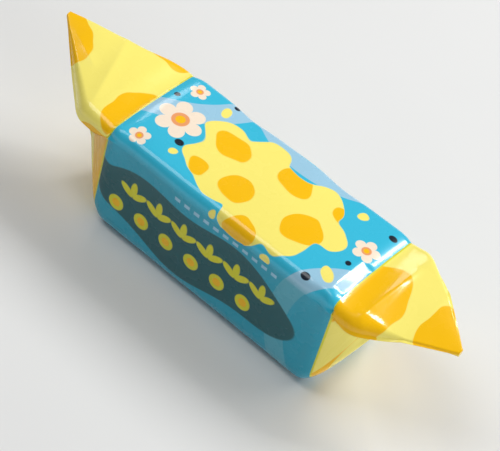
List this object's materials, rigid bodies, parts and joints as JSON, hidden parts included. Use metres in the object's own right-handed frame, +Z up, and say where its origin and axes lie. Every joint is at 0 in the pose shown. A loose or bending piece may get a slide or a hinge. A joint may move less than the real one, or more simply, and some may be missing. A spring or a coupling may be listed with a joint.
{
  "type": "wrapped caramel candy",
  "caption": "Soft caramel bar in shut glossy printed film, square in section, with a pointed folded flap at each end.",
  "frame": {"origin": "middle of the candy's length and width, on the surface that it lies on", "axes": "+X along the bar and its flaps, +Y across it, +Z up, out of the main printed face"},
  "size_m": [0.0772, 0.019, 0.0209],
  "materials": {
    "printed_film": "glossy printed film in sky blue, pale yellow and amber"
  },
  "bodies": {
    "root": {"wrapped_candy": "printed_film"}
  },
  "joints": []
}
